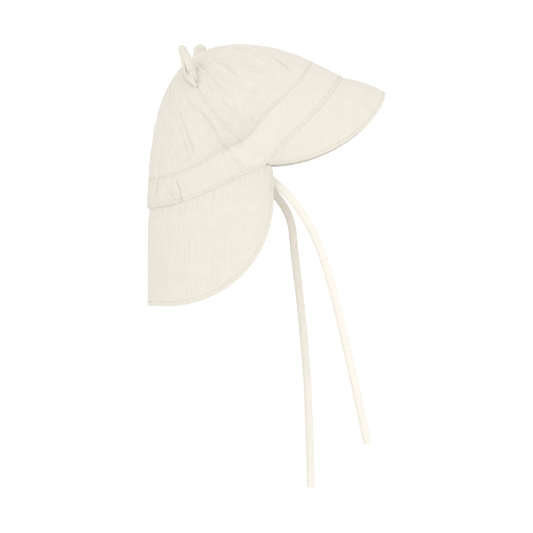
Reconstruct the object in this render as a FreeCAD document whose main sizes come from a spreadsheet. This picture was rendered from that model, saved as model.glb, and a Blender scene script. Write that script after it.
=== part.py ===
"""Toddler's sun hat in cotton muslin: crown with two ear tabs, head band with a gathered back, peak, neck flap
and two chin ties.

Frame: millimetres, +X towards the peak, +Y towards the wearer's left, +Z up. The origin is the centre of the
head opening. The hat is symmetric about the XZ plane, apart from how the ears lean and the ties hang.
The crown is a dome on a tilted axis: p runs along the head opening, forwards and up, and q up the dome.
"""

import math
import os

import FreeCAD
import Part
import Sketcher

V = FreeCAD.Vector
doc = FreeCAD.newDocument("SunHat")

# ---------------------------------------------------------------- driving dimensions, in mm and degrees
DIMENSIONS = {
    "tilt": 33.3,  # the head opening rises towards the peak
    "crown_height": 85.6,  # up the dome's own axis
    "crown_half_length": 99.0,
    "crown_half_width": 66.0,
    "crown_forward": 2.5,  # centre of the dome's lowest section, along p
    "crown_drift": 4.0,  # how much further forward the top is
    "shoulder": 1.7,  # exponent of the dome's profile seen from the front
    "skirt_depth": 34.0,  # the sections go on below the opening, where the band covers the ears
    "skirt_half_length": 111.5,
    "skirt_half_width": 66.4,
    "cloth": 1.0,  # outer cloth: double gauze
    "lining": 0.8,
    "layer_gap": 0.2,
    "elastic": 0.8,
    "elastic_inset": 3.0,  # from the band's two seams
    "side_x": 17.0,  # where the peak and the flap meet at the side
    "side_z": -19.5,
    "band_front_x": 84.0,
    "band_front_z": 57.0,
    "band_back_z": -54.0,
    "band_back_x": -84.0,
    "seam_gap": 0.6,  # between the band and the cloth that turns against it
    "flap_front_x": 24.6,
    "flap_bottom_z": -136.5,
    "flap_corner": 90.0,  # radius of the flap's rounded front
    "flap_centre_x": 14.5,
    "flap_half_length": 98.2,
    "flap_half_width": 69.2,
    "peak_tip_x": 120.0,
    "peak_tip_z": 43.0,
    "peak_spread": 6.0,  # how far the peak stands out at the sides
    "peak_round": 0.72,  # how round the peak is across its front: 1 would make a ridge along its middle
    "peak_lap": 2.4,  # the peak's root stands this far out of the band
    "peak_lining": 0.8,
    "peak_stiffener": 0.6,
    "ear_height": 29.5,
    "ear_base": 14.0,
    "ear_top": 9.0,
    "ear_cup": 7.5,  # radius that the ear is folded to
    "ear_cloth": 0.9,
    "ear_gap": 2.7,  # between the ear and the crown that it flops over
    "tie_width": 7.0,
    "tie_thick": 1.4,
    "tie_side": 60.6,  # distance of a tie's sewn end from the middle plane
    "tie_lean": 1.5,  # degrees, inwards
}

sheet = doc.addObject("Spreadsheet::Sheet", "Sizes")
for row, (alias, value) in enumerate(DIMENSIONS.items(), start=1):
    sheet.set(f"A{row}", alias)
    sheet.set(f"B{row}", str(value))
    sheet.setAlias(f"B{row}", alias)
doc.recompute()


def size(alias):
    """The value of one cell of the sheet."""
    return float(sheet.get(alias))


def bind(obj, prop, expression):
    """Binds a property to an expression in which the sheet's aliases stand bare."""
    for alias in sorted(DIMENSIONS, key=len, reverse=True):
        expression = expression.replace(f"[{alias}]", f"Sizes.{alias}")
    obj.setExpression(prop, expression)


# ---------------------------------------------------------------- the crown's dome
SKIRT = (-1.0, -0.5)  # shares of the skirt's depth, below the head opening
SECTIONS = (0.0, 0.12, 0.26, 0.42, 0.58, 0.72, 0.84, 0.93, 0.98, 0.999)  # shares of the dome's height


def dome_section(name, share, inset):
    """One elliptic section of the dome. A negative share is one of the skirt."""
    e = doc.addObject("Part::Ellipse", name)
    if share < 0:
        q = f"({share} * [skirt_depth])"
        half_length = f"([crown_half_length] - {share} * ([skirt_half_length] - [crown_half_length]))"
        half_width = f"([crown_half_width] - {share} * ([skirt_half_width] - [crown_half_width]))"
    else:
        q = f"({share} * ([crown_height] - {inset}))"
        half_length = f"[crown_half_length] * sqrt(1 - {share})"
        half_width = f"[crown_half_width] * sqrt(1 - {share} ^ [shoulder])"
    taper = f"{inset} * sqrt(1 - {max(share, 0)})"
    centre = f"([crown_forward] + [crown_drift] * {max(share, 0)})"
    bind(e, "MajorRadius", f"{half_length} - {taper}")
    bind(e, "MinorRadius", f"{half_width} - {taper}")
    e.Placement = FreeCAD.Placement(V(), FreeCAD.Rotation(V(0, 1, 0), -1))
    bind(e, "Placement.Rotation.Angle", "-[tilt]")
    bind(e, "Placement.Base.x", f"{centre} * cos([tilt] * 1 deg) - {q} * sin([tilt] * 1 deg)")
    bind(e, "Placement.Base.z", f"{centre} * sin([tilt] * 1 deg) + {q} * cos([tilt] * 1 deg)")
    return e


def dome(name, inset):
    """The solid dome with its skirt, inset millimetres inside the crown's outer face."""
    rings = [dome_section(f"{name}_ring{i}", share, inset) for i, share in enumerate(SKIRT + SECTIONS)]
    loft = doc.addObject("Part::Loft", name)
    loft.Sections = rings
    loft.Solid = True
    return loft


def shell(name, outer, inner):
    """What is left of one solid when another is taken out of it."""
    cut = doc.addObject("Part::Cut", name)
    cut.Base = outer
    cut.Tool = inner
    return cut


# ---------------------------------------------------------------- seams, as curves in the side view (x, z)
SIDE = (size("side_x"), size("side_z"))


def lower_seam_front(u):
    """The band's lower seam from the side (u 0) to the middle of the front (u 1)."""
    x = SIDE[0] + (size("band_front_x") - SIDE[0]) * u
    z = SIDE[1] + (size("band_front_z") - SIDE[1]) * u - 4.5 * math.sin(math.pi * u * u)
    return x, z


def lower_seam_back(u):
    """The band's lower seam from the side (u 0) to the middle of the back (u 1)."""
    x = SIDE[0] + (size("band_back_x") - SIDE[0]) * u
    z = SIDE[1] + (size("band_back_z") - SIDE[1]) * math.sin(math.pi * u / 2) ** 1.15
    return x, z


UPPER_SEAM_FRONT = [(-2.5, 0.3), (8.5, 11.5), (18, 24), (30, 36), (46, 53), (57, 70), (63, 82)]
UPPER_SEAM_BACK = [(-2.5, 0.3), (-19, -7.5), (-33, -15), (-48, -22), (-66, -27.5), (-92, -31)]
CROSS_SEAM = [(-2.5, 0.3), (-13, 12.5), (-26, 26.5), (-39, 46.5), (-48, 64), (-54, 84)]
FAR = 170.0  # further out than any part of the hat
STEPS = [i / 6 for i in range(7)]


def curve(points):
    """An edge in the XZ plane through the points."""
    spline = Part.BSplineCurve()
    spline.interpolate([V(x, 0, z) for x, z in points])
    return spline.toShape()


def lines(points):
    """Straight edges in the XZ plane from point to point."""
    return [Part.makeLine(V(a[0], 0, a[1]), V(b[0], 0, b[1])) for a, b in zip(points, points[1:])]


def prism(name, edges):
    """The side view's outline, carried right through the hat from side to side."""
    outline = doc.addObject("Part::Feature", f"{name}_outline")
    wire = Part.Wire(Part.__sortEdges__(edges))
    outline.Shape = Part.Face(wire)
    solid = doc.addObject("Part::Extrusion", name)
    solid.Base = outline
    solid.DirMode = "Custom"
    solid.Dir = V(0, 1, 0)
    solid.Solid = True
    bind(solid, "LengthFwd", "[crown_half_width] * 2")
    bind(solid, "LengthRev", "[crown_half_width] * 2")
    return solid


def band_outline():
    """Between the band's two seams, all the way round."""
    low_front = [lower_seam_front(u) for u in STEPS]
    low_back = [lower_seam_back(u) for u in STEPS]
    ends = lines([low_front[-1], (FAR, FAR), UPPER_SEAM_FRONT[-1]])
    ends += lines([low_back[-1], UPPER_SEAM_BACK[-1]])
    return [curve(low_front), curve(low_back), curve(UPPER_SEAM_FRONT), curve(UPPER_SEAM_BACK)] + ends


def crown_front_outline():
    """Above the band and in front of the seam that runs over the crown from ear to ear."""
    corner = lines([UPPER_SEAM_FRONT[-1], (FAR, FAR), (CROSS_SEAM[-1][0], FAR), CROSS_SEAM[-1]])
    return [curve(UPPER_SEAM_FRONT), curve(CROSS_SEAM)] + corner


def crown_back_outline():
    """Above the band and behind the seam that runs over the crown."""
    top, low = CROSS_SEAM[-1], UPPER_SEAM_BACK[-1]
    corner = lines([top, (top[0], FAR), (-FAR, FAR), (-FAR, low[1]), low])
    return [curve(UPPER_SEAM_BACK), curve(CROSS_SEAM)] + corner


def elastic_outline():
    """The back of the band's channel, inset from both seams."""
    inset = size("elastic_inset")
    top = [(x, z - inset) for x, z in UPPER_SEAM_BACK[3:]]
    low = [(x, z + inset) for x, z in (lower_seam_back(u) for u in (0.69, 0.8, 0.9, 1.0))]
    return lines([low[0], top[0]]) + lines([low[-1], top[-1]]) + [curve(top), curve(low)]


def flap_outline():
    """Below the band's back half, with a straight front edge and a round corner down to the hem."""
    gap, front, hem = size("seam_gap"), size("flap_front_x"), size("flap_bottom_z")
    radius = size("flap_corner")
    low = [(x, z - gap) for x, z in (lower_seam_back(u) for u in STEPS)]
    start = (front, low[0][1] - gap)
    centre = V(front - radius, 0, hem + radius)
    half = math.sqrt(0.5)
    arc = Part.Arc(
        centre + V(radius, 0, 0), centre + V(radius * half, 0, -radius * half), centre + V(0, 0, -radius)
    ).toShape()
    front_edge = lines([low[0], start, (front, hem + radius)])
    return [curve(low), arc] + front_edge + lines([(front - radius, hem), (-FAR, hem), (-FAR, low[-1][1]), low[-1]])


def panel(name, cloth, cutter):
    """One cut piece of cloth: the part of a shell inside a prism."""
    common = doc.addObject("Part::Common", name)
    common.Label = name
    common.Base = cloth
    common.Tool = cutter
    return common


cloth_in = size("cloth")
lining_out = cloth_in + size("layer_gap")
lining_in = lining_out + size("lining")
elastic_out = cloth_in + size("layer_gap") / 2
elastic_in = elastic_out + size("elastic")
band_lining_out = elastic_in + size("layer_gap") / 2
band_lining_in = band_lining_out + size("lining")

outer_shell = shell("outer_shell", dome("dome_outer", 0), dome("dome_cloth", cloth_in))
lining_shell = shell("lining_shell", dome("dome_lining", lining_out), dome("dome_inside", lining_in))
elastic_shell = shell("elastic_shell", dome("dome_elastic", elastic_out), dome("dome_elastic_in", elastic_in))
band_shell = shell("band_shell", dome("dome_band", band_lining_out), dome("dome_band_in", band_lining_in))

band_prism = prism("band_prism", band_outline())
front_prism = prism("front_prism", crown_front_outline())
back_prism = prism("back_prism", crown_back_outline())
elastic_prism = prism("elastic_prism", elastic_outline())
flap_prism = prism("flap_prism", flap_outline())

subparts = [
    panel("crown_front_panel", outer_shell, front_prism),
    panel("crown_back_panel", outer_shell, back_prism),
    panel("crown_front_lining", lining_shell, front_prism),
    panel("crown_back_lining", lining_shell, back_prism),
    panel("band_outer", outer_shell, band_prism),
    panel("band_lining", band_shell, band_prism),
    panel("back_elastic", elastic_shell, elastic_prism),
]


# ---------------------------------------------------------------- neck flap: an upright oval wall
def oval_tube(name, inset):
    """The solid inside the flap's wall, inset millimetres from its outer face."""
    ring = doc.addObject("Part::Ellipse", f"{name}_ring")
    bind(ring, "MajorRadius", f"[flap_half_length] - {inset}")
    bind(ring, "MinorRadius", f"[flap_half_width] - {inset}")
    bind(ring, "Placement.Base.x", "[flap_centre_x]")
    bind(ring, "Placement.Base.z", "[flap_bottom_z] - 5")
    solid = doc.addObject("Part::Extrusion", name)
    solid.Base = ring
    solid.DirMode = "Custom"
    solid.Dir = V(0, 0, 1)
    solid.Solid = True
    bind(solid, "LengthFwd", "5 - [flap_bottom_z]")
    return solid


flap_outer_shell = shell("flap_outer_shell", oval_tube("flap_face", 0), oval_tube("flap_cloth", cloth_in))
flap_inner_shell = shell("flap_inner_shell", oval_tube("flap_in", lining_out), oval_tube("flap_in2", lining_in))
subparts += [
    panel("flap_outer", flap_outer_shell, flap_prism),
    panel("flap_lining", flap_inner_shell, flap_prism),
]


# ---------------------------------------------------------------- peak: two cloths over a stiffener
def dome_half_axes(q):
    """Half length and half width of the dome's outer face at height q."""
    if q < 0:
        share = -q / size("skirt_depth")
        length = size("crown_half_length") + (size("skirt_half_length") - size("crown_half_length")) * share
        return length, size("crown_half_width") + (size("skirt_half_width") - size("crown_half_width")) * share
    share = q / size("crown_height")
    return (
        size("crown_half_length") * math.sqrt(1 - share),
        size("crown_half_width") * math.sqrt(1 - share ** size("shoulder")),
    )


def on_band(x, z, out):
    """The point of the dome's outer face at x, z in the side view, on the +Y side, moved out from the face."""
    tilt = math.radians(size("tilt"))
    q = z * math.cos(tilt) - x * math.sin(tilt)
    centre = size("crown_forward") + size("crown_drift") * max(q, 0) / size("crown_height")
    p = x * math.cos(tilt) + z * math.sin(tilt) - centre
    length, width = dome_half_axes(q)
    along = min(1.0, p / (length + out))
    return V(x, (width + out) * math.sqrt(1 - along * along), z)


def peak_root(s):
    """The peak's inner edge: s is 0 at the middle of the front and 90 degrees at the side."""
    x, z = lower_seam_front(math.cos(s))
    lap = size("peak_lap")
    if s < 0.01:
        tilt = math.radians(size("tilt"))
        return V(x + lap * math.cos(tilt), 0, z)
    return on_band(x + lap * math.cos(s), z, lap)


def peak_edge(s):
    """The peak's outer edge at the same stations."""
    x = SIDE[0] + (size("peak_tip_x") - SIDE[0]) * math.cos(s)
    z = size("peak_tip_z") - (size("peak_tip_z") - SIDE[1]) * math.sin(s) ** 1.32
    y = size("crown_half_width") * math.sin(s) ** size("peak_round") + size("peak_spread") * math.sin(2 * s)
    return V(x, y, z)


PEAK_STATIONS = [math.radians(a) for a in (-84, -76, -64, -49, -33, -18, -7, 0, 7, 18, 33, 49, 64, 76, 84)]


def peak_frame(s):
    """Root, edge and upward normal of the peak at one station, on either side."""
    a = abs(s)
    root, edge = peak_root(a), peak_edge(a)
    step = 0.02
    tangent = (peak_edge(a + step) + peak_root(a + step)) - (peak_edge(abs(a - step)) + peak_root(abs(a - step)))
    if a < step:
        tangent = V(0, 1, 0)
    normal = (edge - root).cross(tangent)
    normal.normalize()
    if normal.y + normal.z < 0:
        normal = normal * -1
    if s < 0:
        root, edge, normal = (V(v.x, -v.y, v.z) for v in (root, edge, normal))
    return root, edge, normal


def peak_layer(name, low, high, inset):
    """One layer of the peak between two heights above its underside, inset from its edges."""
    wires = []
    for s in PEAK_STATIONS:
        root, edge, normal = peak_frame(s)
        across = edge - root
        across.normalize()
        depth = (edge - root).Length
        a = root + across * min(inset, depth * 0.2)
        b = edge - across * min(inset, depth * 0.2)
        corners = [a + normal * low, b + normal * low, b + normal * high, a + normal * high]
        wires.append(Part.makePolygon(corners + corners[:1]))
    layer = doc.addObject("Part::Feature", name)
    layer.Label = name
    layer.Shape = Part.makeLoft(wires, True, False)
    return layer


stiffener_low = size("peak_lining") + 0.1
stiffener_high = stiffener_low + size("peak_stiffener")
subparts += [
    peak_layer("peak_under", 0, size("peak_lining"), 0),
    peak_layer("peak_stiffener", stiffener_low, stiffener_high, 3),
    peak_layer("peak_upper", stiffener_high + 0.1, stiffener_high + 0.1 + cloth_in, 0),
]


# ---------------------------------------------------------------- ears: folded tabs standing on the cross seam
EAR_FOOT = (-43.5, 56.0)  # x and z of the middle of an ear's foot
EAR_UP = {"right": V(-11.5, -6.0, 27.0), "left": V(4.5, 6.0, 28.0)}
EAR_ACROSS = {"right": V(-1.0, 0.15, -0.3), "left": V(1.0, 0.3, 0.1)}
EAR_SUNK = 22.0  # the blank reaches this far below the foot before the crown's shape is cut out of it


def ear_blank(side, layer):
    """The ear's flat outline, wide at the foot and round at the top, as a thick block."""
    body = doc.addObject("PartDesign::Body", f"{side}_{layer}_blank")
    sketch = body.newObject("Sketcher::SketchObject", f"{side}_{layer}_outline")
    plane = [f for f in body.Origin.OriginFeatures if f.Role == "XZ_Plane"][0]
    sketch.AttachmentSupport = [(plane, "")]
    sketch.MapMode = "FlatFace"
    height, base, top = size("ear_height"), size("ear_base") / 2, size("ear_top") / 2
    shoulder = height - top
    a, b, c, d = V(base, -EAR_SUNK, 0), V(top, shoulder, 0), V(-top, shoulder, 0), V(-base, -EAR_SUNK, 0)
    sketch.addGeometry(Part.LineSegment(a, b))
    sketch.addGeometry(Part.Arc(b, V(0, height, 0), c))
    sketch.addGeometry(Part.LineSegment(c, d))
    sketch.addGeometry(Part.LineSegment(d, a))
    pad = body.newObject("PartDesign::Pad", f"{side}_{layer}_pad")
    pad.Profile = sketch
    pad.Midplane = True
    bind(pad, "Length", "[ear_cup] * 1.9")
    return body


def ear_layer(side, layer, outer):
    """One cloth of an ear, folded round an upright axis and open outwards. Its foot follows the crown."""
    blank = ear_blank(side, layer)
    doc.recompute()
    wall = doc.addObject("Part::Cylinder", f"{side}_{layer}_wall")
    hollow = doc.addObject("Part::Cylinder", f"{side}_{layer}_hollow")
    for cylinder, radius in ((wall, outer), (hollow, f"{outer} - [ear_cloth]")):
        bind(cylinder, "Radius", radius)
        bind(cylinder, "Height", "[ear_height] + 30")
        cylinder.Placement.Base = V(0, size("ear_cup"), -EAR_SUNK - 2)
    curl = shell(f"{side}_{layer}_curl", wall, hollow)
    tab = panel(f"{side}_{layer}_tab", blank, curl)
    foot = on_band(EAR_FOOT[0], EAR_FOOT[1], 0)
    foot.y *= 1 if EAR_UP[side].y > 0 else -1
    turn = FreeCAD.Rotation(EAR_ACROSS[side], V(), EAR_UP[side], "ZXY")
    for thing in (blank, wall, hollow):
        thing.Placement = FreeCAD.Placement(foot, turn).multiply(thing.Placement)
    piece = shell(f"{side}_ear_{layer}", tab, ear_floor)
    piece.Label = f"{side}_ear_{layer}"
    return piece


ear_floor = dome("ear_floor", -size("ear_gap"))
for side in ("right", "left"):
    subparts.append(ear_layer(side, "outer", "[ear_cup]"))
    subparts.append(ear_layer(side, "inner", "[ear_cup] - [ear_cloth] - 0.1"))


# ---------------------------------------------------------------- chin ties: flat straps along a route
RIGHT_ROUTE = [(8, -21), (30, -34.5), (52, -62), (68.5, -98), (87.5, -175), (104, -253.5)]
LEFT_ROUTE = [(8, -21), (25, -40), (39.5, -62), (41.6, -90), (47.8, -142), (54.1, -217.5), (55.5, -292.4)]
ARC_SHARE = 0.45


def route_edges(points, name):
    """Straight runs joined by tangent arcs, as large as the runs allow, in the XZ plane."""
    at = [V(x, 0, z) for x, z in points]
    edges, start = [], at[0]
    for before, corner, after in zip(at, at[1:], at[2:]):
        back, ahead = before - corner, after - corner
        reach = ARC_SHARE * min(back.Length, ahead.Length)
        back.normalize()
        ahead.normalize()
        turn = math.pi - back.getAngle(ahead)
        radius = reach / math.tan(turn / 2)
        print(f"{name}: arc radius {radius:.1f} mm, turn {math.degrees(turn):.1f} degrees")
        a, b = corner + back * reach, corner + ahead * reach
        middle = back + ahead
        middle.normalize()
        centre = corner + middle * (radius / math.cos(turn / 2))
        edges.append(Part.makeLine(start, a))
        edges.append(Part.Arc(a, centre - middle * radius, b).toShape())
        start = b
    edges.append(Part.makeLine(start, at[-1]))
    return edges


def tie(name, points, side):
    """A strap of constant section along its route, leaning in towards the chin."""
    spine = doc.addObject("Part::Feature", f"{name}_route")
    spine.Shape = Part.Wire(route_edges(points, name))
    start, onward = V(points[0][0], 0, points[0][1]), V(points[1][0], 0, points[1][1])
    run = onward - start
    run.normalize()
    section = doc.addObject("Sketcher::SketchObject", f"{name}_section")
    half_width, half_thick = size("tie_width") / 2, size("tie_thick") / 2
    corners = [V(sx * half_width, sy * half_thick, 0) for sx, sy in ((-1, -1), (1, -1), (1, 1), (-1, 1))]
    for i in range(4):
        section.addGeometry(Part.LineSegment(corners[i], corners[(i + 1) % 4]))
    for i in range(4):
        section.addConstraint(Sketcher.Constraint("Coincident", i, 2, (i + 1) % 4, 1))
    section.addConstraint(Sketcher.Constraint("Horizontal", 0))
    section.addConstraint(Sketcher.Constraint("Horizontal", 2))
    section.addConstraint(Sketcher.Constraint("Vertical", 1))
    section.addConstraint(Sketcher.Constraint("Vertical", 3))
    section.addConstraint(Sketcher.Constraint("Symmetric", 0, 1, 2, 1, -1, 1))
    wide = section.addConstraint(Sketcher.Constraint("DistanceX", 0, 1, 0, 2, 2 * half_width))
    thick = section.addConstraint(Sketcher.Constraint("DistanceY", 1, 1, 1, 2, 2 * half_thick))
    bind(section, f"Constraints[{wide}]", "[tie_width]")
    bind(section, f"Constraints[{thick}]", "[tie_thick]")
    section.Placement = FreeCAD.Placement(start, FreeCAD.Rotation(V(), V(0, 1, 0), run, "ZYX"))
    sweep = doc.addObject("Part::Sweep", name)
    sweep.Label = name
    sweep.Sections = [section]
    sweep.Spine = (spine, [])
    sweep.Solid = True
    sweep.Frenet = False
    lean = FreeCAD.Rotation(V(1, 0, 0), -side * size("tie_lean"))
    moved = FreeCAD.Placement(V(0, side * size("tie_side"), 0), FreeCAD.Rotation())
    about_root = FreeCAD.Placement(V(), lean, start)
    for thing in (spine, section):
        thing.Placement = moved.multiply(about_root).multiply(thing.Placement)
    doc.recompute()
    section_area = size("tie_width") * size("tie_thick")
    print(f"{name}: length {spine.Shape.Length:.1f} mm, volume over section times length "
          f"{sweep.Shape.Volume / (section_area * spine.Shape.Length):.4f}")
    return sweep


subparts += [tie("right_tie", RIGHT_ROUTE, -1), tie("left_tie", LEFT_ROUTE, 1)]

# ---------------------------------------------------------------- check and write
doc.recompute()
for obj in doc.Objects:
    if "Invalid" in obj.State or "Error" in obj.State:
        raise RuntimeError(f"{obj.Name} failed: {obj.State}")

os.makedirs("parts", exist_ok=True)
for piece in subparts:
    shape = piece.Shape
    if shape.isNull() or not shape.isValid() or not shape.Solids:
        raise RuntimeError(f"{piece.Label} is not a valid solid")
    shape.exportStep(f"parts/{piece.Label}.step")
    box = shape.BoundBox
    print(
        f"{piece.Label}: {len(shape.Solids)} solid(s), {shape.Volume / 1000:.2f} cm3, "
        f"x {box.XMin:.1f}..{box.XMax:.1f}, y {box.YMin:.1f}..{box.YMax:.1f}, z {box.ZMin:.1f}..{box.ZMax:.1f}"
    )
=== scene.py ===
"""Looks of a toddler's sun hat in crinkled cotton: gathered crown with two ear tabs, head band with a
gathered back, peak, neck flap and two chin ties.

The cloth is worked out in millimetres in the frame's axes and written to the meshes in metres. The crown
and the band lie on one dome, whose points are named by flat coordinates: the middle of a disc is the
dome's top, and the disc's edge, at radius 1, is the head opening.
"""

import math

import bpy
import numpy as np
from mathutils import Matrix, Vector


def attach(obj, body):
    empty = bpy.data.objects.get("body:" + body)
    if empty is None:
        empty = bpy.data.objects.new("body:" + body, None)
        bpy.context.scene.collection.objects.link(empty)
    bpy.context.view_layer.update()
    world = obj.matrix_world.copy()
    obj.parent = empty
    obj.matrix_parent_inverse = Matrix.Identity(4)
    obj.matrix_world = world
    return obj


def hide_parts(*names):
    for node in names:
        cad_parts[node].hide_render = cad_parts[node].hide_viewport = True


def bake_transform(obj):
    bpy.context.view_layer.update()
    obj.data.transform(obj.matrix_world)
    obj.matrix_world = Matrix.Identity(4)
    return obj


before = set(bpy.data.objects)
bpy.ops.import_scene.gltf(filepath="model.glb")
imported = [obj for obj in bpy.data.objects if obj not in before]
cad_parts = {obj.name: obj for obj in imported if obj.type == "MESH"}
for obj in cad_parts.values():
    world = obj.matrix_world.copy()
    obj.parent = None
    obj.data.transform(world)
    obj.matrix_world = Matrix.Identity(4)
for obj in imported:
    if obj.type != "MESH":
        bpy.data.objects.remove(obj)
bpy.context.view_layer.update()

MM = 0.001

# -------------------- sizes, in mm, as in the solids
TILT = math.radians(33.3)  # of the head opening
COS, SIN = math.cos(TILT), math.sin(TILT)
CROWN_HEIGHT, HALF_LENGTH, HALF_WIDTH = 85.6, 99.0, 66.0
FORWARD, DRIFT, SHOULDER = 2.5, 4.0, 1.7  # the opening's middle, the top's beyond it, and how full it is
SKIRT_DEPTH, SKIRT_LENGTH, SKIRT_WIDTH = 34.0, 111.5, 66.4  # the dome goes on below the opening
SKIRT_RATE = 2 * CROWN_HEIGHT / SKIRT_DEPTH  # the skirt's depth per unit of the disc's radius
CLOTH, LINING = 1.0, 0.8
SIDE = (17.0, -19.5)  # x and z where the peak and the flap meet
UPPER_SEAM_FRONT = [(-2.5, 0.3), (8.5, 11.5), (18, 24), (30, 36), (46, 53), (57, 70), (63, 82)]
UPPER_SEAM_BACK = [(-2.5, 0.3), (-19, -7.5), (-33, -15), (-48, -22), (-66, -27.5), (-92, -31)]
CROSS_SEAM = [(-2.5, 0.3), (-13, 12.5), (-26, 26.5), (-39, 46.5), (-48, 64), (-54, 84)]
FLAP_CENTRE_X, FLAP_LENGTH, FLAP_WIDTH = 14.5, 98.2, 69.2
FLAP_FRONT_X, FLAP_BOTTOM_Z, FLAP_CORNER = 24.6, -136.5, 90.0
TIE_WIDTH, TIE_THICK, TIE_SIDE, TIE_LEAN = 7.0, 1.4, 60.6, math.radians(1.5)
RIGHT_ROUTE = [(8, -21), (30, -34.5), (52, -62), (68.5, -98), (87.5, -175), (104, -253.5)]
LEFT_ROUTE = [(8, -21), (25.6, -40), (40.6, -62), (42.9, -90), (49.2, -142), (55.6, -217.5), (57.0, -293.6)]
STITCH_PITCH, STITCH_LENGTH, THREAD_RADIUS = 2.5, 1.75, 0.2
HOLE_LENGTH, HOLE_RADIUS = 0.64, 0.23

# -------------------- camera
CAMERA_DISTANCE = 6.0
VIEW_CENTRE = (0.0191, -0.1041)  # x and z of the middle of the picture
VIEW_WIDTH = 0.453
SENSOR = 36.0

camera_data = bpy.data.cameras.new("camera")
camera_data.sensor_width = SENSOR
camera_data.lens = SENSOR * CAMERA_DISTANCE / VIEW_WIDTH
camera = bpy.data.objects.new("camera", camera_data)
camera.location = (VIEW_CENTRE[0], -CAMERA_DISTANCE, VIEW_CENTRE[1])
camera.rotation_euler = (math.pi / 2, 0, 0)
bpy.context.scene.collection.objects.link(camera)
bpy.context.scene.camera = camera
bpy.context.scene.view_settings.view_transform = "Standard"


# -------------------- materials
def noise_node(nodes, links, vector, scale, detail=3.0):
    node = nodes.new("ShaderNodeTexNoise")
    node.inputs["Scale"].default_value = scale
    node.inputs["Detail"].default_value = detail
    links.new(vector, node.inputs["Vector"])
    return node.outputs["Fac"]


def math_node(nodes, links, operation, a, b):
    node = nodes.new("ShaderNodeMath")
    node.operation = operation
    for socket, value in zip(node.inputs, (a, b)):
        if isinstance(value, (int, float)):
            socket.default_value = value
        else:
            links.new(value, socket)
    return node.outputs[0]


CLOUDY, MOTTLED, FIBROUS = 90.0, 750.0, 2600.0  # noise scales of the cloth's patches, puckers and fibres
CLOUDY_SHARE, MOTTLED_SHARE = 0.45, 0.55  # how much of the colour's change each gives
DARK_END, LIGHT_END = 0.3, 0.7  # the parts of that change where the colour is darkest and lightest
FIBRE_DEPTH = 0.35  # how deep the fibres are, for the puckers' depth
WAVE_RATE = 20  # the radians that a wave texture turns through for each unit of its scale


def fabric(name, light, dark, threads, weave, crepe, sheen=0.12):
    """Woven cotton. light and dark are the ends of its colour range, threads is how many lie in a
    millimetre, and weave and crepe are how deep, in mm, its threads and its fine puckers are."""
    material = bpy.data.materials.new(name)
    material.use_nodes = True
    nodes, links = material.node_tree.nodes, material.node_tree.links
    shader = nodes["Principled BSDF"]
    shader.inputs["Roughness"].default_value = 0.95
    shader.inputs["Specular IOR Level"].default_value = 0.15
    shader.inputs["Sheen Weight"].default_value = sheen
    shader.inputs["Sheen Roughness"].default_value = 0.6
    place = nodes.new("ShaderNodeTexCoord").outputs["UV"]
    cloudy = noise_node(nodes, links, place, CLOUDY)
    mottled = noise_node(nodes, links, place, MOTTLED, 2.0)
    fibrous = noise_node(nodes, links, place, FIBROUS, 1.0)
    tone = math_node(nodes, links, "ADD", math_node(nodes, links, "MULTIPLY", cloudy, CLOUDY_SHARE),
                     math_node(nodes, links, "MULTIPLY", mottled, MOTTLED_SHARE))
    ramp = nodes.new("ShaderNodeValToRGB")
    ramp.color_ramp.elements[0].position = DARK_END
    ramp.color_ramp.elements[1].position = LIGHT_END
    ramp.color_ramp.elements[0].color = (*dark, 1)
    ramp.color_ramp.elements[1].color = (*light, 1)
    links.new(tone, ramp.inputs["Fac"])
    links.new(ramp.outputs["Color"], shader.inputs["Base Color"])
    height = math_node(nodes, links, "MULTIPLY", mottled, crepe)
    height = math_node(nodes, links, "ADD", height,
                       math_node(nodes, links, "MULTIPLY", fibrous, crepe * FIBRE_DEPTH))
    for direction in ("X", "Y"):
        thread = nodes.new("ShaderNodeTexWave")
        thread.bands_direction = direction
        thread.inputs["Scale"].default_value = threads / MM / WAVE_RATE * math.pi  # a wave is two threads
        thread.inputs["Distortion"].default_value = 0.6
        links.new(place, thread.inputs["Vector"])
        height = math_node(nodes, links, "ADD", height,
                           math_node(nodes, links, "MULTIPLY", thread.outputs["Fac"], weave))
    bump = nodes.new("ShaderNodeBump")
    bump.inputs["Strength"].default_value = 0.9
    bump.inputs["Distance"].default_value = MM
    links.new(height, bump.inputs["Height"])
    links.new(bump.outputs["Normal"], shader.inputs["Normal"])
    return material


MUSLIN = fabric("muslin", (0.722, 0.691, 0.618), (0.674, 0.638, 0.563), 2.0, 0.03, 0.30)
INSIDE = fabric("inside_cotton", (0.740, 0.711, 0.640), (0.695, 0.662, 0.588), 2.2, 0.03, 0.16)
TAPE = fabric("tie_cotton", (0.790, 0.760, 0.690), (0.755, 0.722, 0.650), 2.4, 0.012, 0.08)
WEB = fabric("elastic_web", (0.700, 0.690, 0.660), (0.610, 0.600, 0.570), 1.1, 0.10, 0.05)
FELT = fabric("interfacing_felt", (0.760, 0.755, 0.740), (0.680, 0.675, 0.660), 1.5, 0.02, 0.30)
COTTON = fabric("sewing_thread", (0.770, 0.740, 0.668), (0.700, 0.665, 0.590), 6.0, 0.05, 0.02, 0.2)
# the needle holes' colour is painted shade: darker than the cloth, for the shadow inside each hole
HOLE_SHADE = fabric("needle_hole_shade", (0.680, 0.640, 0.560), (0.600, 0.555, 0.470), 2.0, 0.02, 0.05, 0.0)


# -------------------- repeatable noise
def lattice(i, j, seed):
    """A fixed random number from 0 to 1 for each pair of whole numbers."""
    h = (i * 374761393 + j * 668265263 + seed * 974711) & 0xFFFFFFFF
    h = ((h ^ (h >> 13)) * 1274126177) & 0xFFFFFFFF
    return ((h ^ (h >> 16)) & 0xFFFFFF) / 0xFFFFFF


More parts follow.
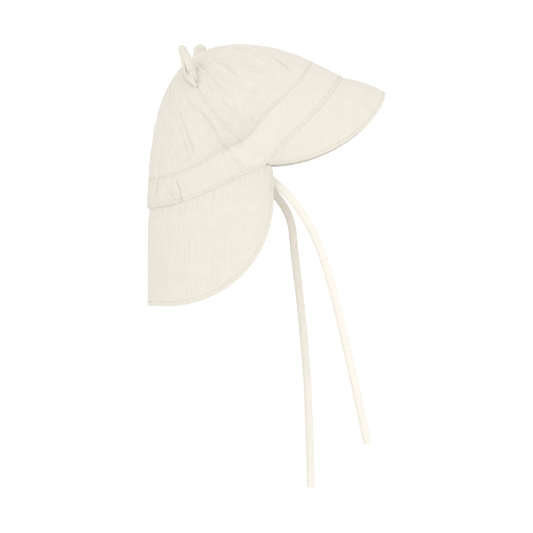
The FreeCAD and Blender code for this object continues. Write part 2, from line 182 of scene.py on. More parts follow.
def noise(x, y, seed):
    """Smooth noise from -1 to 1, one hump per unit."""
    x, y = np.broadcast_arrays(np.asarray(x, float), np.asarray(y, float))
    i, j = np.floor(x).astype(np.int64), np.floor(y).astype(np.int64)
    s, t = x - i, y - j
    s, t = s * s * (3 - 2 * s), t * t * (3 - 2 * t)
    low = lattice(i, j, seed) * (1 - s) + lattice(i + 1, j, seed) * s
    high = lattice(i, j + 1, seed) * (1 - s) + lattice(i + 1, j + 1, seed) * s
    return 2 * (low * (1 - t) + high * t) - 1


def step(value, low, high):
    """Rises smoothly from 0 at low to 1 at high."""
    t = np.clip((value - low) / (high - low), 0, 1)
    return t * t * (3 - 2 * t)


def bell(value, width):
    return np.exp(-((value / width) ** 2))


def unit(vectors):
    return vectors / np.maximum(np.linalg.norm(vectors, axis=-1, keepdims=True), 1e-9)


# -------------------- how the cotton creases
WANDER, SHIFT, FADE = 34, 12, 20  # mm along a crease over which it wanders, shifts and changes its depth
RIDGE, RIDGE_AT, RIDGE_WIDTH = 0.45, 2.1, 1.3  # the ridge beside a fold, in its depths and widths
FOLD_TAPER = 2.2  # how soon a fold is at its whole depth from its ends
NEAR_MIDDLE = 1.0, 6.0  # mm from the hat's middle plane between which a fold of one side starts
SKEW = 0.2  # how far the creases' noise moves for each mm across the hat, so that its sides differ
GROOVE_WIDTH, PILE, PILE_AT, PILE_WIDTH = 0.5, 0.3, 1.2, 0.7  # a seam's groove and the ridge beside it
STITCH_DIP, DIP_WIDTH = 0.2, 0.45  # how stitches press the cloth in


def crinkles(across, along, spacing, seed, sharp=0.02):
    """Soft ridges with narrow valleys between them, spacing mm apart and running where across is constant: 0
    on a ridge, -1 in a valley. sharp rounds the valleys."""
    turn = across / spacing + 0.5 * noise(across / (3 * spacing), along / WANDER, seed)
    turn += 0.22 * noise(across / spacing, along / SHIFT, seed + 1)
    ridge = np.sqrt(np.cos(np.pi * turn) ** 2 + sharp)
    depth = 0.62 + 0.38 * noise(0.8 * across / spacing, along / FADE, seed + 2)
    return (ridge - 1) * depth


def fold(points, route, width, depth, side):
    """A valley with a soft ridge beside it, along a route of x and z in the side view. side is -1 for the
    wearer's right and 1 for the left."""
    x, z = points[..., 0], points[..., 2]
    lengths = [math.dist(a, b) for a, b in zip(route, route[1:])]
    total, before = sum(lengths), 0.0
    near = np.full(x.shape, 1e9)
    where = np.zeros(x.shape)
    sign = np.ones(x.shape)
    for (ax, az), (bx, bz), run in zip(route, route[1:], lengths):
        dx, dz = (bx - ax) / run, (bz - az) / run
        t = np.clip((x - ax) * dx + (z - az) * dz, 0, run)
        gap = np.hypot(x - ax - t * dx, z - az - t * dz)
        closer = gap < near
        near = np.where(closer, gap, near)
        where = np.where(closer, (before + t) / total, where)
        sign = np.where(closer, np.sign((x - ax) * dz - (z - az) * dx), sign)
        before += run
    taper = np.clip(np.sin(math.pi * np.clip(where, 0.02, 0.98)) * FOLD_TAPER, 0, 1)
    # the ridge is higher on one side of the valley
    ridge = RIDGE * bell(near - RIDGE_AT * width, RIDGE_WIDTH * width) * (0.65 + 0.35 * sign)
    return depth * (ridge - bell(near, width)) * taper * step(points[..., 1] * side, *NEAR_MIDDLE)


def seam(away, groove):
    """What a seam does to the cloth away mm from it: a groove, and a ridge over its turned edges."""
    return -groove * bell(away, GROOVE_WIDTH) + PILE * bell(away - PILE_AT, PILE_WIDTH)


# -------------------- the dome
def dome(disc):
    """Points of the smooth dome from flat coordinates."""
    rho = np.maximum(np.hypot(disc[..., 0], disc[..., 1]), 1e-6)
    share = np.clip(1 - rho**2, 0, 1)
    down = np.maximum(rho - 1, 0) * SKIRT_RATE
    length = np.where(rho > 1, HALF_LENGTH + down * (SKIRT_LENGTH - HALF_LENGTH), HALF_LENGTH * rho)
    width = HALF_WIDTH * np.sqrt(1 - share**SHOULDER) + down * (SKIRT_WIDTH - HALF_WIDTH)
    p = FORWARD + DRIFT * share + length * disc[..., 0] / rho
    q = CROWN_HEIGHT * share - SKIRT_DEPTH * down
    return np.stack([p * COS - q * SIN, width * disc[..., 1] / rho, p * SIN + q * COS], -1)


def dome_normals(disc):
    e = 1e-3
    along_x = dome(disc + [e, 0]) - dome(disc - [e, 0])
    along_y = dome(disc + [0, e]) - dome(disc - [0, e])
    return unit(np.cross(along_x, along_y))


def side_view(x, z):
    """Flat coordinates of the dome's point at (x, z) in the side view, on the wearer's right, and the cosine
    of its place round the dome, which passes 1 where (x, z) leaves the outline."""
    p, q = x * COS + z * SIN, z * COS - x * SIN
    share, down = np.clip(q / CROWN_HEIGHT, 0, 1), np.maximum(-q, 0) / SKIRT_DEPTH
    rho = np.sqrt(1 - share) + down / SKIRT_RATE
    length = HALF_LENGTH * np.sqrt(1 - share) + down * (SKIRT_LENGTH - HALF_LENGTH)
    cosine = (p - FORWARD - DRIFT * share) / np.maximum(length, 1e-6)
    level = np.clip(cosine, -1, 1)
    return rho[..., None] * np.stack([level, -np.sqrt(1 - level**2)], -1), cosine


def through(points, count):
    """A smooth line through points."""
    points = np.array(points, float)
    reach = np.concatenate([[0], np.cumsum(np.linalg.norm(np.diff(points, axis=0), axis=1))])
    slopes = np.gradient(points, reach, axis=0)
    t = np.linspace(0, reach[-1], count)
    k = np.clip(np.searchsorted(reach, t) - 1, 0, len(points) - 2)
    span = (reach[k + 1] - reach[k])[:, None]
    s = ((t - reach[k])[:, None]) / span
    a, b, c, d = points[k], points[k + 1], slopes[k] * span, slopes[k + 1] * span
    start = (2 * s**3 - 3 * s**2 + 1) * a + (s**3 - 2 * s**2 + s) * c
    return start + (3 * s**2 - 2 * s**3) * b + (s**3 - s**2) * d


def measured(points):
    """How far along a line of points each one is."""
    return np.concatenate([[0], np.cumsum(np.linalg.norm(np.diff(points, axis=0), axis=1))])


def sample(at, reach, line):
    """A line's values at places along it, where reach says how far along each of its points is."""
    return np.stack([np.interp(at, reach, line[:, i]) for i in range(line.shape[1])], -1)


def even(line, count, to_points=lambda line: line):
    """count places along a line, evenly spaced by the true length of what to_points makes of it."""
    reach = measured(to_points(line))
    return sample(np.linspace(0, reach[-1], count), reach, line)


def seam_half(line):
    """Flat coordinates of a seam from the side to the middle plane, where it is cut off."""
    disc, cosine = side_view(line[:, 0], line[:, 1])
    out = np.argmax(np.abs(cosine) >= 1)
    share = (1 - abs(cosine[out - 1])) / (abs(cosine[out]) - abs(cosine[out - 1]))
    last = line[out - 1] + share * (line[out] - line[out - 1])
    end, _ = side_view(last[:1], last[1:])
    end[:, 1] = 0.0
    return np.concatenate([disc[:out], end])


def lower_front(u):
    """x and z of the band's lower edge, from the side, at 0, to the front, near 1."""
    return np.stack([SIDE[0] + 67 * u, SIDE[1] + 76.5 * u - 4.5 * np.sin(math.pi * u**2)], -1)


def lower_back(u):
    """The same, from the side to the back."""
    return np.stack([SIDE[0] - 101 * u, SIDE[1] - 34.5 * np.sin(math.pi * u / 2) ** 1.15], -1)


FINE = 4000  # points of a seam's line
BEYOND = np.linspace(0, 1.12, FINE)  # places along a seam, going on past the middle plane, where it is cut
CROSS = seam_half(through(CROSS_SEAM, FINE))
UPPER_FRONT = seam_half(through(UPPER_SEAM_FRONT, FINE))
UPPER_BACK = seam_half(through(UPPER_SEAM_BACK, FINE))
LOWER_FRONT = seam_half(lower_front(BEYOND))
LOWER_BACK = seam_half(lower_back(BEYOND))


def mirrored(half):
    """A line from the wearer's right to the middle plane goes on to the wearer's left."""
    return np.concatenate([half, half[-2::-1] * [1, -1]])


def between(first, second, rows, crowd=0.7):
    """A grid from one line to another, its rows closer together near both."""
    s = np.linspace(0, 1, rows)
    v = (s - crowd * np.sin(2 * math.pi * s) / (2 * math.pi))[:, None, None]
    return first[None] * (1 - v) + second[None] * v


def distances(points):
    """Distances along a grid's columns from its first row and from its last."""
    steps = np.linalg.norm(np.diff(points, axis=0), axis=-1)
    start = np.concatenate([np.zeros((1, points.shape[1])), np.cumsum(steps, axis=0)])
    return start, start[-1:] - start


ROW_IN, END_IN = 0.35, 0.4  # how far inwards a tucked edge goes, for each mm that it goes on


def tucked(face, normals, first=0.0, last=0.0, ends=0.0):
    """Moves the edges of a grid on and inwards, so that a seam's two cloths meet in a shallow groove. first,
    last and ends are how many mm its first row, its last row and its outer columns go on."""
    face = face.copy()
    for edge, inside, reach in ((0, 1, first), (-1, -2, last)):
        if reach:
            face[edge] += reach * (unit(face[edge] - face[inside]) - ROW_IN * normals[edge])
    if ends:
        for edge, inside in ((0, 2), (-1, -3)):
            face[:, edge] += ends * (unit(face[:, edge] - face[:, inside]) - END_IN * normals[:, edge])
    return face


# -------------------- meshes
RIM = 0.42  # how far a rounded edge stands out, for the cloth's thickness


def solid_sheet(name, face, normals, thickness, closed=False):
    """Thin cloth: a closed mesh whose outer face is a grid of points in mm, with rounded edges. thickness is
    one number or one for each column. closed joins the last column to the first."""
    back = face - normals * thickness
    rim = RIM * thickness
    first = (face[0] + back[0]) / 2 + rim * unit(face[0] - face[1])
    last = (face[-1] + back[-1]) / 2 + rim * unit(face[-1] - face[-2])
    ring = np.concatenate([face, last[None], back[::-1], first[None]])
    count, columns = ring.shape[:2]
    rows = len(face)
    down = np.arange(count)
    right = np.arange(columns if closed else columns - 1)
    a = (down[:, None] * columns + right[None]).ravel()
    b = (down[:, None] * columns + (right[None] + 1) % columns).ravel()
    c = (((down[:, None] + 1) % count) * columns + (right[None] + 1) % columns).ravel()
    d = (((down[:, None] + 1) % count) * columns + right[None]).ravel()
    quads = np.stack([a, b, c, d], -1)
    middle = rows // 2, columns // 2
    right_of, below = face[middle[0], middle[1] + 1], face[middle[0] + 1, middle[1]]
    outward = np.cross(right_of - face[middle], below - face[middle])
    flip = outward @ normals[middle] < 0
    if flip:
        quads = quads[:, ::-1]
    faces = quads.tolist()
    if not closed:
        for column, turn in ((0, flip), (columns - 1, not flip)):
            loop = [r * columns + column for r in range(count)]
            cap = []
            for r in range(rows - 1):
                cap.append([loop[r], loop[r + 1], loop[count - 3 - r], loop[count - 2 - r]])
            cap.append([loop[rows - 1], loop[rows], loop[rows + 1]])
            cap.append([loop[count - 2], loop[count - 1], loop[0]])
            faces += [f[::-1] for f in cap] if turn else cap
    mesh = bpy.data.meshes.new(name)
    mesh.from_pydata((ring.reshape(-1, 3) * MM).tolist(), [], faces)
    across, along = measured(face[rows // 2]), measured(face[:, columns // 2])
    along = np.concatenate([along, along[-1:], along[::-1], [0]])
    flat = np.stack(np.broadcast_arrays(across[None], along[:, None]), -1).reshape(-1, 2) * MM
    return finish_mesh(name, mesh, flat)


def finish_mesh(name, mesh, flat):
    """Gives a mesh its flat coordinates, in metres, and smooth shading, and puts it in the scene."""
    index = np.zeros(len(mesh.loops), np.int32)
    mesh.loops.foreach_get("vertex_index", index)
    layer = mesh.uv_layers.new(name="flat")
    layer.data.foreach_set("uv", flat[index].astype(np.float32).ravel())
    mesh.polygons.foreach_set("use_smooth", np.ones(len(mesh.polygons), bool))
    mesh.update()
    obj = bpy.data.objects.new(name, mesh)
    bpy.context.scene.collection.objects.link(obj)
    return obj


def dress(obj, material, slot, body, *nodes):
    """A piece's material, its material slot, which is not used, its body and the CAD nodes that it stands
    for. A piece that is blended between two bodies has None for its body."""
    obj.data.materials.append(material)
    if body:
        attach(obj, body)
    if nodes:
        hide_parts(*nodes)


RINGS, SIDES = 5, 6  # of a stitch
STITCH_PARTS = [  # material index, half length, radius, place along the line, and height over the cloth
    (0, STITCH_LENGTH / 2, THREAD_RADIUS, 0.0, 0.12),
    (1, HOLE_LENGTH / 2, HOLE_RADIUS, STITCH_PITCH / 2, -0.14),
]
STITCH_ARCH = 0.22  # how far a stitch's ends go down
LOOK_AHEAD = 0.4  # mm to the place that gives a stitch its direction


def stitches(name, lines):
    """Threads that dip into the cloth, with needle holes between them, along lines of (points, normals)."""
    verts, faces, kinds, flat = [], [], [], []
    angles = np.arange(SIDES) * 2 * math.pi / SIDES
    for points, normals in lines:
        reach = measured(points)
        count = max(int(reach[-1] / STITCH_PITCH), 1)
        at = (np.arange(count) + 0.5) * reach[-1] / count
        middle, up = sample(at, reach, points), unit(sample(at, reach, normals))
        run = unit(sample(at + LOOK_AHEAD, reach, points) - middle)
        side = unit(np.cross(run, up))
        for k in range(count):
            for kind, half, radius, offset, lift in STITCH_PARTS:
                base = len(verts)
                for j in range(RINGS):
                    t = -1 + 2 * (j + 0.5) / RINGS
                    swell = math.sqrt(1 - t * t)
                    centre = middle[k] + run[k] * (offset + t * half)
                    centre = centre + up[k] * (lift + (swell - 1) * STITCH_ARCH)
                    circle = radius * swell
                    for angle in angles:
                        verts.append(centre + circle * (side[k] * math.cos(angle) + up[k] * math.sin(angle)))
                        flat.append((t * half * MM, angle * radius * MM))
                for j in range(RINGS - 1):
                    for i in range(SIDES):
                        n = (i + 1) % SIDES
                        faces.append((base + j * SIDES + i, base + j * SIDES + n,
                                      base + (j + 1) * SIDES + n, base + (j + 1) * SIDES + i))
                        kinds.append(kind)
                faces.append([base + i for i in range(SIDES)][::-1])
                faces.append([base + (RINGS - 1) * SIDES + i for i in range(SIDES)])
                kinds += [kind] * 2
    mesh = bpy.data.meshes.new(name)
    mesh.from_pydata((np.array(verts) * MM).tolist(), [], faces)
    obj = finish_mesh(name, mesh, np.array(flat))
    mesh.polygons.foreach_set("material_index", np.array(kinds, np.int32))
    return obj


def dress_stitches(obj, slot, body):
    """The same for a line of stitches, whose first material is the thread and second the needle holes,
    coloured darker than the cloth as painted shade.
    """
    obj.data.materials.append(COTTON)
    dress(obj, HOLE_SHADE, slot, body)


SHORTEST = 5.0  # mm of the shortest column that stitches cross


def inset_line(face, normals, distance, inset):
    """The line that runs inset mm from a grid's edge, and its normals."""
    keep = distance.max(axis=0) > SHORTEST
    points, ups = [], []
    for column in np.nonzero(keep)[0]:
        reach = distance[:, column]
        order = np.argsort(reach)
        points.append(sample(inset, reach[order], face[order, column]))
        ups.append(sample(inset, reach[order], normals[order, column]))
    return np.array(points), np.array(ups)


# -------------------- crown
FRONT_FAN, BACK_FAN = (-54.0, 90.0), (-82.6, 90.3)  # the creases of each crown panel spread from here
FRONT_FOLDS = [  # the route in x and z, the width and the depth of each large fold
    ([(-43.3, 68.9), (-34.2, 63.5), (-26.8, 55), (-16.2, 42.3)], 1.3, 1.5),
    ([(-41.7, 74.1), (-28.9, 74.1), (-16.2, 66.7), (-3.4, 55)], 1.6, 1.6),
    ([(-9.8, 78.4), (6.2, 66.7), (17.9, 59.2), (30.6, 49.7)], 2.2, 1.5),
    ([(-33, 54), (-25, 44), (-17, 34), (-8, 22)], 1.2, 0.8),
    ([(-24, 71), (-8, 60), (8, 45), (19, 34)], 1.5, 1.1),
]
BACK_FOLDS = [
    ([(-52.3, 47.6), (-46.9, 34.9), (-34.2, 24.2), (-26.8, 13.6), (-20.4, 1.9), (-15, -4.5), (-10.8, -13),
      (-1.3, -19.4), (6.2, -25.2)], 1.1, 1.9),
    ([(-58.7, 34), (-53.3, 22.1), (-49.6, 11.5), (-43.8, -3.4), (-40.6, -14)], 1.0, 2.0),
    ([(-56, 15.7), (-51.2, 1.9), (-47.6, -9), (-44.8, -21)], 1.0, 1.5),
    ([(-65, 8), (-59.7, -5.5), (-55.4, -18.3)], 1.0, 1.5),
    ([(-71.5, 4), (-70.9, -11.9), (-72.4, -22.5), (-72.4, -35.3), (-73, -46)], 1.3, 2.6),
    ([(-13.5, -12), (-6, -19), (0.5, -27)], 0.8, 1.0),
    ([(-20, -14), (-13, -24), (-9, -32)], 0.8, 0.8),
    ([(-41, 33), (-31, 21), (-23, 8)], 1.2, 0.9),
]
FOLD_SHARE = 0.5  # how deep the folds are, for the depths written here
LEFT_SHIFT, LEFT_WIDTH, LEFT_DEPTH = 3.0, 1.1, 0.85  # how the folds on the wearer's left differ


def both_sides(points, folds):
    """The same folds on both sides of the hat, a little different on the wearer's left."""
    total = 0.0
    for number, (route, width, depth) in enumerate(folds):
        total += fold(points, route, width, FOLD_SHARE * depth, -1)
        shift = LEFT_SHIFT * noise(number * 1.7, 0.5, 71)
        other = [(x + shift, z - 0.5 * shift) for x, z in route]
        total += fold(points, other, width * LEFT_WIDTH, LEFT_DEPTH * FOLD_SHARE * depth, 1)
    return total


def fan(points, centre, radius, lean):
    """Across and along the creases that spread from a centre in the side view. Across is in mm at radius,
    and lean is how far the creases go across for each mm from the middle plane."""
    x, y, z = points[..., 0] - centre[0], np.abs(points[..., 1]), centre[1] - points[..., 2]
    return radius * np.arctan2(z, x) + lean * y, np.hypot(x, z)


def crown_front_relief(points):
    """The front panel's large folds, and its fine crinkles: how far each stands out, in mm."""
    across, along = fan(points, FRONT_FAN, 95.0, 0.35)
    drift = along + SKEW * points[..., 1]
    broad = 0.85 * crinkles(across, drift, 10.5, 15, 0.05)
    broad = broad * (1 - 0.5 * step(along, 45, 100)) * step(along, 16, 34)
    broad += both_sides(points, FRONT_FOLDS)
    swell = bell(points[..., 0] - 44, 24) - bell(points[..., 0] + 14, 24)
    broad += 0.8 * swell * bell(points[..., 1], 30)  # the line of the top is a little uneven
    return broad, 0.8 * crinkles(across, drift, 3.9, 11, 0.01) * step(along, 18, 48)


def crown_back_relief(points):
    """The same for the back panel, whose creases are deeper behind."""
    across, along = fan(points, BACK_FAN, 108.0, -0.55)
    drift = along + SKEW * points[..., 1]
    behind = step(-points[..., 0], 25, 75)
    broad = (0.35 + 0.75 * behind) * crinkles(across, drift, 9.4, 35, 0.03) * step(along, 18, 50)
    broad += both_sides(points, BACK_FOLDS)
    return broad, 0.5 * crinkles(across, drift, 3.7, 31, 0.012) * step(along, 25, 55)


PROUD = 0.6  # how far the outer cloth's ridges stand out of the smooth dome
LINING_IN = 2.3  # how far the linings lie inside the smooth dome
PANEL_COLUMNS, PANEL_ROWS = 341, 161
PANEL_TRIM = 0.006  # the share of its seams that a panel leaves free at each end
SEAM_STEPS = 2001  # points of a seam's line
CROSS_GROOVE, BAND_GROOVE = 0.28, 0.3  # how deep the seams are


def crown_panel(name, end, relief, outer_node, lining_node):
    """One crown panel and its lining, from the cross seam to the band's upper seam, end."""
    share = np.linspace(PANEL_TRIM, 1 - PANEL_TRIM, PANEL_COLUMNS)
    lines = []
    for half in (CROSS, end):
        line = even(mirrored(half), SEAM_STEPS, dome)
        lines.append(sample(share, np.linspace(0, 1, SEAM_STEPS), line))
    disc = between(lines[0], lines[1], PANEL_ROWS)
    base, normals = dome(disc), dome_normals(disc)
    from_cross, from_band = distances(base)
    broad, fine = relief(base)
    lift = PROUD + broad + fine + seam(from_cross, CROSS_GROOVE) + seam(from_band, BAND_GROOVE)
    face = base + normals * lift[..., None]
    outer = solid_sheet(name, tucked(face, normals, 0.8, 0.8, 1.0), normals, CLOTH)
    dress(outer, MUSLIN, "muslin", "hat", outer_node)
    inner_lift = broad - LINING_IN + 0.35 * crinkles(base[..., 0], base[..., 2], 5.0, 91)
    inner = solid_sheet(name + "_inside", (base + normals * inner_lift[..., None])[::2, ::2],
                        normals[::2, ::2], LINING)
    dress(inner, INSIDE, "lining", "hat", lining_node)


crown_panel("crown_front", UPPER_FRONT, crown_front_relief, "crown_front_panel", "crown_front_lining")
crown_panel("crown_back", UPPER_BACK, crown_back_relief, "crown_back_panel", "crown_back_lining")

# -------------------- head band
BAND_ROWS = 45
FRONT_COLUMNS, BACK_COLUMNS = 190, 200
BAND_LEAN = 0.25  # how far the band's creases go round it for each mm up from its lower seam
LOWER_INSET, UPPER_INSET = 2.6, 1.4  # from the band's edges to its lines of stitches
GATHER_START, GATHER_END = 53, 60  # mm behind the origin between which the gathered back starts


def band_ring(front, back):
    """A seam of the band, right round: front, the wearer's right, back, left."""
    right = np.concatenate([even(front, FRONT_COLUMNS, dome)[::-1], even(back, BACK_COLUMNS, dome)[1:]])
    return np.concatenate([right, right[-2:0:-1] * [1, -1]])


band_disc = between(band_ring(LOWER_FRONT, LOWER_BACK), band_ring(UPPER_FRONT, UPPER_BACK), BAND_ROWS, 0.5)
band_base, band_normals = dome(band_disc), dome_normals(band_disc)
from_lower, from_upper = distances(band_base)
half = FRONT_COLUMNS + BACK_COLUMNS - 1
band_across = measured(band_base[BAND_ROWS // 2, :half])
band_across = np.concatenate([band_across, band_across[-2:0:-1]])[None] + BAND_LEAN * from_lower
band_along = from_lower + SKEW * band_base[..., 1]
behind = -band_base[..., 0]
gathered = step(behind, GATHER_START, GATHER_END)
TUCK = [(-57, -29), (-54.5, -38), (-52, -50)]  # where the elastic's casing ends
PINCHES = [  # the gathered back's large folds, written like the crown's
    ([(-69, -30), (-64.5, -38), (-59, -46), (-55, -51)], 0.65, 1.6),
    ([(-66, -33), (-60, -41), (-54.5, -49)], 0.5, 1.1),
    ([(-72.6, -26), (-72.9, -36), (-72.6, -43)], 0.8, 2.2),
    ([(-74, -38), (-71, -47), (-68.5, -53)], 0.6, 1.3),
    ([(-79, -30), (-80.5, -38), (-81.5, -46)], 1.0, 1.8),
]
pinched = gathered * (0.3 + 0.7 * step(from_upper, 0, 7)) * (0.8 + 0.9 * step(behind, 72, 82))
band_broad = pinched * crinkles(band_across, band_along, 4.6, 61, 0.01)
band_broad += gathered * (0.3 + 0.9 * step(from_upper, 5, 15))  # the back puffs out
band_broad += 0.95 * both_sides(band_base, PINCHES)
band_broad += both_sides(band_base, BACK_FOLDS) * (1 - 0.5 * gathered)
band_broad += 0.35 * crinkles(band_across, band_along, 12.0, 65, 0.1)
band_broad += both_sides(band_base, [(TUCK, 0.8, 1.2)])
band_lift = PROUD + band_broad + 0.72 * crinkles(band_across, band_along, 3.8, 67, 0.01)
lower_dip = STITCH_DIP * bell(from_lower - LOWER_INSET, DIP_WIDTH)
band_lift = band_lift + (seam(from_lower, 0.28) - lower_dip) + 0.1
band_lift = band_lift - 0.2 * bell(from_upper, 0.5) + 0.25 * bell(from_upper - 0.8, 0.5)
band_lift -= 0.15 * bell(from_upper - UPPER_INSET, 0.4)
band_face = band_base + band_normals * band_lift[..., None]
band_outside = tucked(band_face, band_normals, 0.5, 0.6)
head_band = solid_sheet("head_band", band_outside, band_normals, CLOTH, closed=True)
dress(head_band, MUSLIN, "muslin", "hat", "band_outer")
band_inner = band_broad - LINING_IN - 0.6 + 0.3 * crinkles(band_across, band_along, 5.0, 93)
band_inside = solid_sheet("head_band_inside", (band_base + band_normals * band_inner[..., None])[::2, ::2],
                          band_normals[::2, ::2], LINING, closed=True)
dress(band_inside, INSIDE, "lining", "hat", "band_lining")

# the elastic lies in a casing between the band's two cloths, across the back
ELASTIC_START, ELASTIC_MARGIN = 56, 6  # mm behind the origin, and rows from the band's edges
ELASTIC_IN, ELASTIC_THICK = 1.2, 0.6
strip = np.nonzero(behind[BAND_ROWS // 2] > ELASTIC_START)[0]
strip_rows = slice(ELASTIC_MARGIN, BAND_ROWS - ELASTIC_MARGIN, 2)
strip_face = (band_base + band_normals * (band_broad - ELASTIC_IN)[..., None])[strip_rows][:, strip]
elastic_strip = solid_sheet("elastic_strip", strip_face, band_normals[strip_rows][:, strip], ELASTIC_THICK)
dress(elastic_strip, WEB, "elastic", "hat", "back_elastic")

# -------------------- stitching of the crown and the band
ring_lines = []
for reach, inset in ((from_lower, LOWER_INSET), (from_upper, UPPER_INSET)):
    points, ups = inset_line(band_face, band_normals, reach, inset)
    ring_lines.append((np.concatenate([points, points[:1]]), np.concatenate([ups, ups[:1]])))


def on_dome(route, lift):
    """A line lift mm over the dome and its normals, through points of the side view, on each side."""
    disc, _ = side_view(*through(route, 60).T)
    lines = []
    for side in (1, -1):
        at = disc * [1, side]
        normals = dome_normals(at)
        lines.append((dome(at) + normals * lift, normals))
    return lines


DART = [(26.5, 71.0), (32.5, 66.5), (38.5, 61.0)]  # a short seam high on the front panel
DART_LIFT, TUCK_LIFT = 1.05, 0.5
hat_stitches = stitches("hat_stitches", ring_lines + on_dome(DART, DART_LIFT) + on_dome(TUCK, TUCK_LIFT))
dress_stitches(hat_stitches, "muslin", "hat")


# -------------------- edges that roll under
ROLL_TURN, ROLL_ROWS = 2.6, 7  # how far an edge rolls, in radians, and in how many rows


def rolled(face, normals, radius):
    """Adds rows that roll the last edge of a grid under, round a radius."""
    out = unit(face[-1] - face[-3])
    out = unit(out - normals[-1] * np.sum(out * normals[-1], axis=-1, keepdims=True))
    rows, ups = [face], [normals]
    for k in range(1, ROLL_ROWS + 1):
        w = ROLL_TURN * k / ROLL_ROWS
        at = face[-1] + out * (radius * math.sin(w)) - normals[-1] * (radius * (1 - math.cos(w)))
        rows.append(at[None])
        ups.append((normals[-1] * math.cos(w) + out * math.sin(w))[None])
    return np.concatenate(rows), np.concatenate(ups)


def grid_normals(face, towards):
    """Normals of a grid, on the side that towards says."""
    along_rows, along_columns = np.gradient(face, axis=0), np.gradient(face, axis=1)
    normals = unit(np.cross(along_columns, along_rows))
    sign = np.sign(np.sum(normals * towards, axis=-1, keepdims=True))
    return normals * np.where(sign == 0, 1, sign)


LINE_STEPS = 3001  # points of an edge's line


def line_share(line, columns, trim):
    """columns places along a line, evenly spaced, leaving out a share of it, trim, at each end."""
    places = np.linspace(0, 1, LINE_STEPS)
    return sample(np.linspace(trim, 1 - trim, columns), places, even(line, LINE_STEPS))


# -------------------- peak
PEAK_COLUMNS, PEAK_ROWS = 331, 71
PEAK_TRIM = 0.012  # the share of its seam that the peak leaves free at each end
PEAK_ROLL, PEAK_CLOTH = 0.95, 0.9  # its rolled edge's radius and its cloth's thickness
PEAK_REACH = 103  # how far its edge reaches in front of its sides
PEAK_HALF, PEAK_ROUND, PEAK_BULGE = 66, 0.72, 6  # half the edge's width, how round it is, and its bulge
PEAK_TOP, PEAK_DROP, PEAK_ARCH = 44, 62.3, 1.32  # the edge's highest z, and how its sides drop from there
PEAK_CROWN = 2.6  # how far its cloth rises between seam and edge, in the middle
PEAK_INSET = 1.7  # from its edge to its line of stitches
PEAK_CREASES = 3.6  # mm from one to the next
STIFF_IN, UNDER_IN = 1.0, 1.65  # how far the interfacing and the under cloth lie below its upper face
SEAM_GAP = 0.1  # the peak starts this far outside the dome, and the flap this far inside
turn = np.linspace(-math.pi / 2, math.pi / 2, FINE)
peak_edge = np.stack([
    SIDE[0] + PEAK_REACH * np.cos(turn),
    PEAK_HALF * np.sign(turn) * np.abs(np.sin(turn)) ** PEAK_ROUND + PEAK_BULGE * np.sin(2 * turn),
    PEAK_TOP - PEAK_DROP * np.abs(np.sin(turn)) ** PEAK_ARCH,
], -1)
root_disc = even(mirrored(LOWER_FRONT), FINE, dome)
peak_root = dome(root_disc) + SEAM_GAP * dome_normals(root_disc)
peak_face = between(line_share(peak_root, PEAK_COLUMNS, PEAK_TRIM),
                    line_share(peak_edge, PEAK_COLUMNS, PEAK_TRIM), PEAK_ROWS, 0.6)
peak_up = np.array([0.25, 0, 1.0]) + peak_face * [0.004, 0.016, 0]  # roughly away from the head
peak_normals = grid_normals(peak_face, peak_up)
from_root, from_edge = distances(peak_face)
peak_share = from_root / (from_root + from_edge)
wide = np.clip((from_root + from_edge) / 50, 0, 1)
peak_lift = PEAK_CROWN * wide * np.sin(math.pi * peak_share)
peak_lift += 0.2 * crinkles(peak_face[..., 2], peak_face[..., 0], PEAK_CREASES, 81, 0.03)
peak_lift += 0.5 * noise(peak_face[..., 0] / 26, peak_face[..., 1] / 30, 83) * peak_share * wide
peak_lift = peak_lift - 0.3 * bell(from_edge - PEAK_INSET, DIP_WIDTH) - 0.2 * bell(from_root, 0.8)
peak_face = peak_face + peak_normals * peak_lift[..., None]
peak_normals = grid_normals(peak_face, peak_up)
peak_outside = tucked(peak_face, peak_normals, 0.9, 0, 0.9)
peak_top = solid_sheet("peak_top", *rolled(peak_outside, peak_normals, PEAK_ROLL), PEAK_CLOTH)
dress(peak_top, MUSLIN, "muslin", None, "peak_upper")
stiff_rows = slice(0, PEAK_ROWS - 4, 2)
stiff_face = (peak_face - STIFF_IN * peak_normals)[stiff_rows, ::2]
peak_stiffening = solid_sheet("peak_stiffening", stiff_face, peak_normals[stiff_rows, ::2], 0.5)
dress(peak_stiffening, FELT, "interfacing", None, "peak_stiffener")
under_lift = -UNDER_IN + 0.15 * crinkles(peak_face[..., 2], peak_face[..., 0], PEAK_CREASES, 87)
under_face = (peak_face + peak_normals * under_lift[..., None])[:PEAK_ROWS - 1]
peak_lining = solid_sheet("peak_lining", under_face, peak_normals[:PEAK_ROWS - 1], 0.7)
dress(peak_lining, INSIDE, "lining", None, "peak_under")
peak_stitches = stitches("peak_stitches", [inset_line(peak_face, peak_normals, from_edge, PEAK_INSET)])
dress_stitches(peak_stitches, "muslin", None)
for piece in (peak_top, peak_stiffening, peak_lining, peak_stitches):
    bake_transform(piece)

